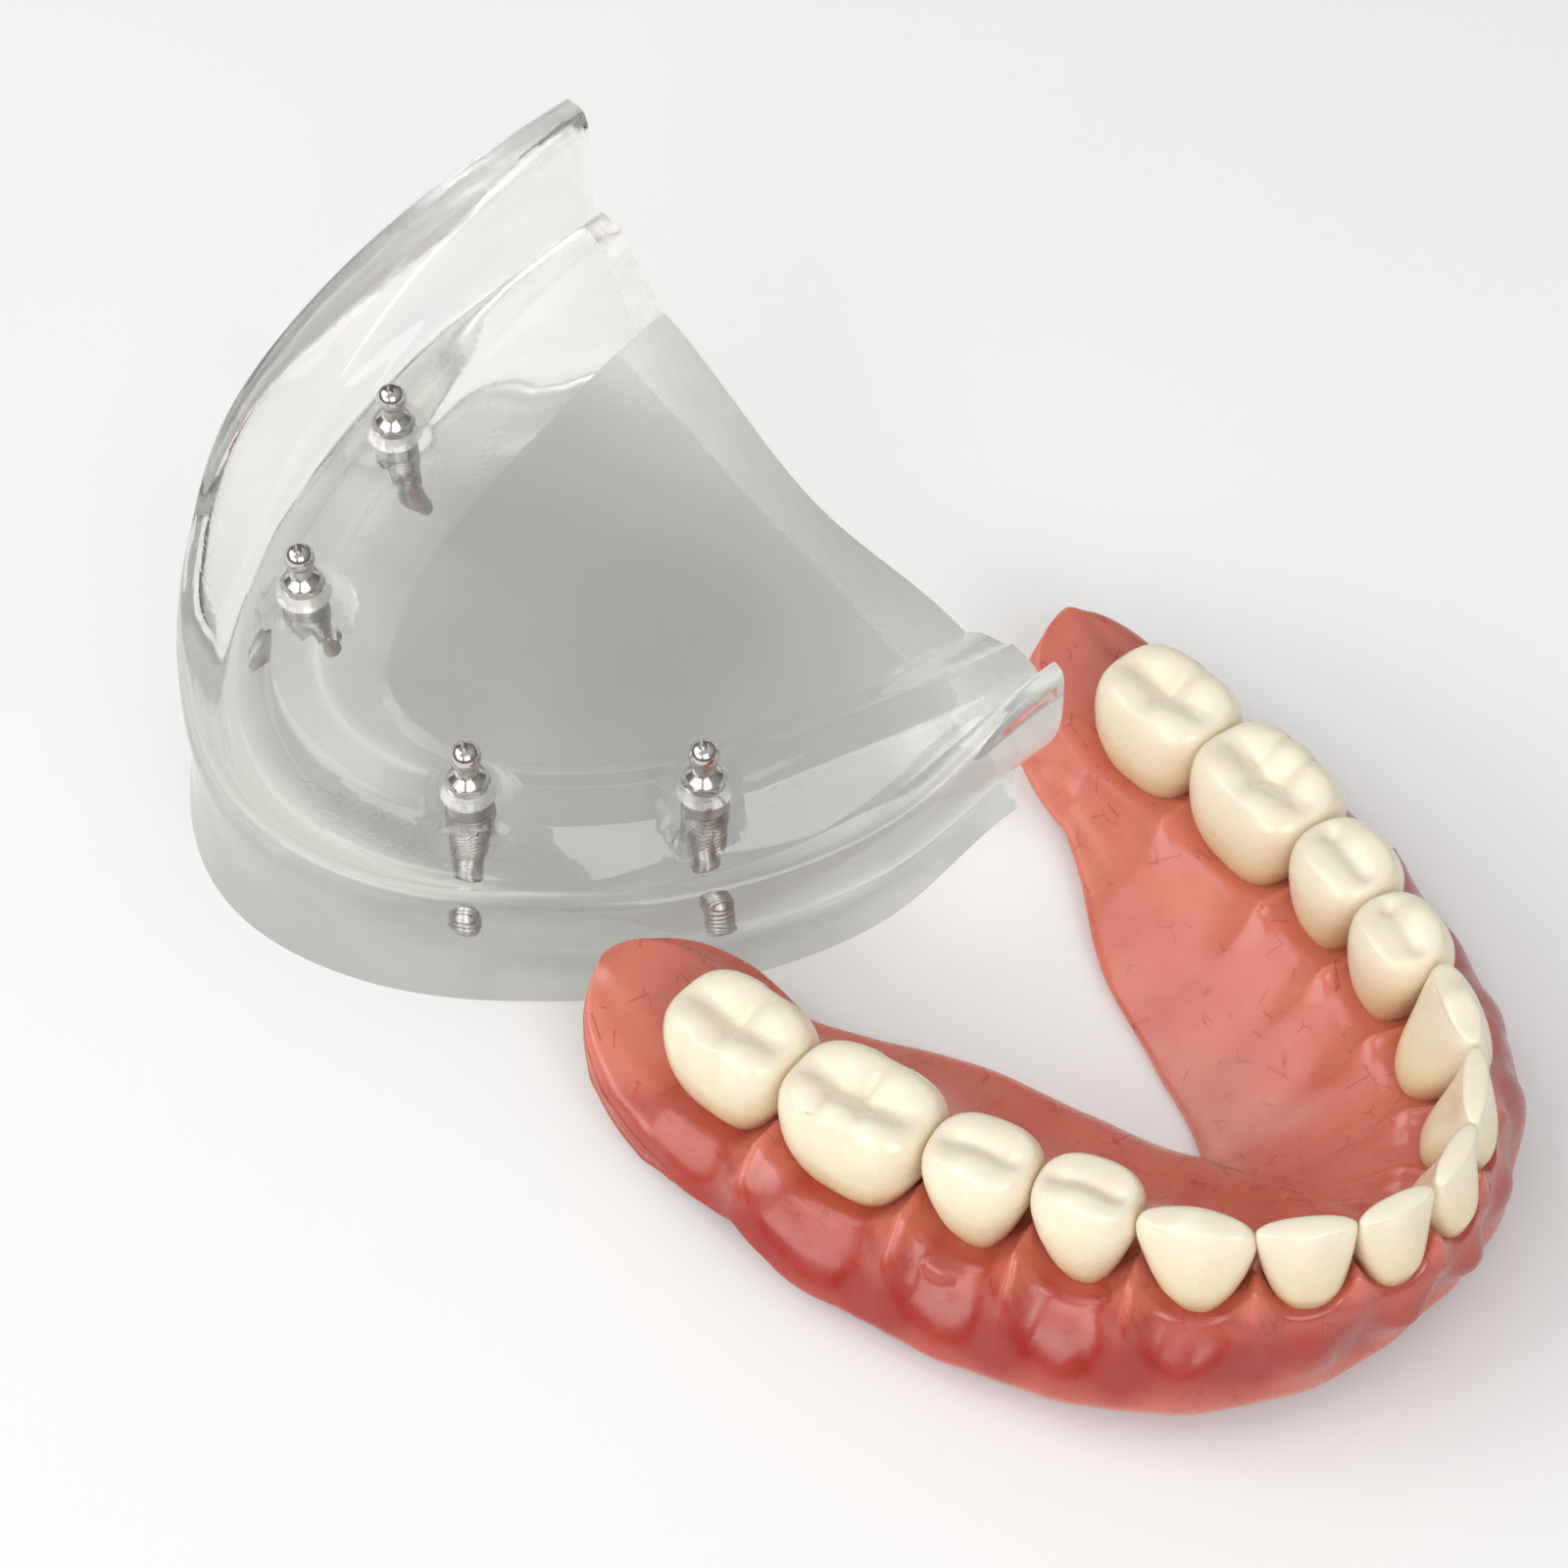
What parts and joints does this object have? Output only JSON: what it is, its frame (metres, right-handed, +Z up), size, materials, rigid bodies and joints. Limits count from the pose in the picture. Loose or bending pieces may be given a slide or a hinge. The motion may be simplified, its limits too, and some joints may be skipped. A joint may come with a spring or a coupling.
{
  "type": "dental demonstration model",
  "caption": "Clear lower-jaw block with threaded implants and ball abutments, beside the removable full lower denture that snaps on to them.",
  "frame": {"origin": "on the table under the block, midway between the two front implants", "axes": "+Z up; -Y towards the front of the jaw; +X towards the side on which the denture lies"},
  "size_m": [0.1252, 0.0771, 0.0288],
  "materials": {
    "clear_acrylic": "clear cast acrylic, polished",
    "implant_metal": "blasted threads",
    "abutment_metal": "polished, warm grey",
    "housing_metal": "satin",
    "o_ring_rubber": "matte",
    "denture_pink": "waxy semi-gloss with short red fibres",
    "tooth_ivory": "glazed ivory, warmer at the necks"
  },
  "bodies": {
    "jaw": {"jaw_block": "clear_acrylic", "implant_front_left": "implant_metal", "implant_front_right": "implant_metal", "implant_rear_left": "implant_metal", "implant_rear_right": "implant_metal"},
    "denture": {"denture_base": "denture_pink", "central_incisor_left": "tooth_ivory", "central_incisor_right": "tooth_ivory", "lateral_incisor_left": "tooth_ivory", "lateral_incisor_right": "tooth_ivory", "canine_left": "tooth_ivory", "canine_right": "tooth_ivory", "first_premolar_left": "tooth_ivory", "first_premolar_right": "tooth_ivory", "second_premolar_left": "tooth_ivory", "second_premolar_right": "tooth_ivory", "first_molar_left": "tooth_ivory", "first_molar_right": "tooth_ivory", "second_molar_left": "tooth_ivory", "second_molar_right": "tooth_ivory", "retention_housing_front_left": "housing_metal", "retention_housing_front_right": "housing_metal", "retention_housing_rear_left": "housing_metal", "retention_housing_rear_right": "housing_metal", "o_ring_front_left": "o_ring_rubber", "o_ring_front_right": "o_ring_rubber", "o_ring_rear_left": "o_ring_rubber", "o_ring_rear_right": "o_ring_rubber"},
    "abutment_front_left": {"ball_abutment_front_left": "abutment_metal"},
    "abutment_front_right": {"ball_abutment_front_right": "abutment_metal"},
    "abutment_rear_left": {"ball_abutment_rear_left": "abutment_metal"},
    "abutment_rear_right": {"ball_abutment_rear_right": "abutment_metal"}
  },
  "joints": [
    {"name": "denture_lift", "type": "slide", "parent": "jaw", "child": "denture", "axis": [0.1961, 0, 0.9806], "range_m": [0, 0.05]},
    {"name": "unscrew_front_left", "type": "hinge", "parent": "jaw", "child": "abutment_front_left", "pos_m": [-0.0122, 0, 0.0144], "axis": [0, 0, 1], "range_deg": [0, 720]},
    {"name": "unscrew_front_right", "type": "hinge", "parent": "jaw", "child": "abutment_front_right", "pos_m": [0.0122, 0, 0.0144], "axis": [0, 0, 1], "range_deg": [0, 720]},
    {"name": "unscrew_rear_left", "type": "hinge", "parent": "jaw", "child": "abutment_rear_left", "pos_m": [-0.02255, 0.01505, 0.0144], "axis": [0, 0, 1], "range_deg": [0, 720]},
    {"name": "unscrew_rear_right", "type": "hinge", "parent": "jaw", "child": "abutment_rear_right", "pos_m": [0.02255, 0.01505, 0.0144], "axis": [0, 0, 1], "range_deg": [0, 720]}
  ]
}
